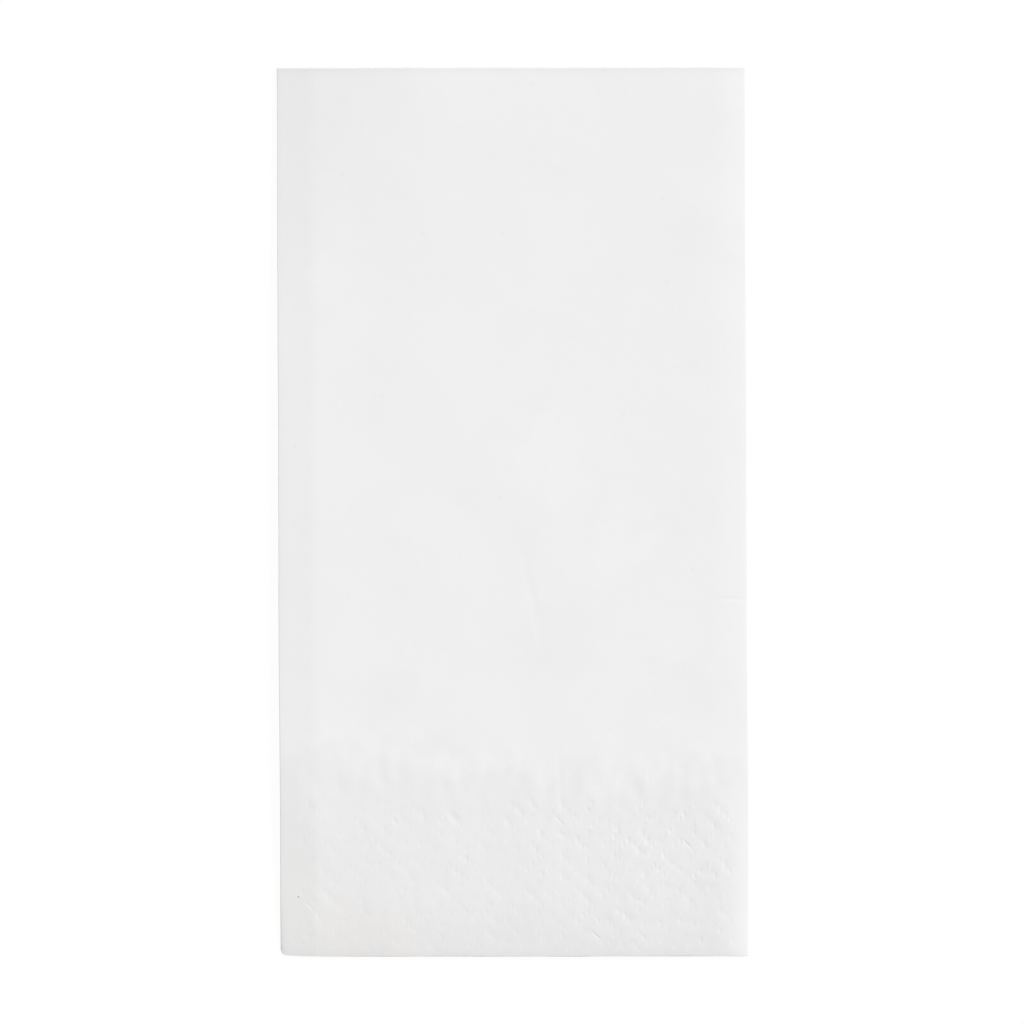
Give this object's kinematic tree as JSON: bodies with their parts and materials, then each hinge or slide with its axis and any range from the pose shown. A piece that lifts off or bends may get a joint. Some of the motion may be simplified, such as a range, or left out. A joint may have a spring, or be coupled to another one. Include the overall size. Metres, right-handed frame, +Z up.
{
  "type": "paper napkin",
  "caption": "White embossed paper dinner napkin, folded flat in eighths: long narrow packet with a pressed dotted border along its cut end, to wipe hands or lay at a place setting.",
  "frame": {"origin": "on the table under the middle of the folded napkin", "axes": "+X across the napkin away from the side where the sheet's free edges are tucked in, +Y along it towards the cross fold, +Z up from the table"},
  "size_m": [0.101, 0.192, 0.0029],
  "materials": {
    "tissue": "matte soft white two-ply tissue with a pressed dotted border"
  },
  "bodies": {
    "root": {"napkin": "tissue"}
  },
  "joints": []
}
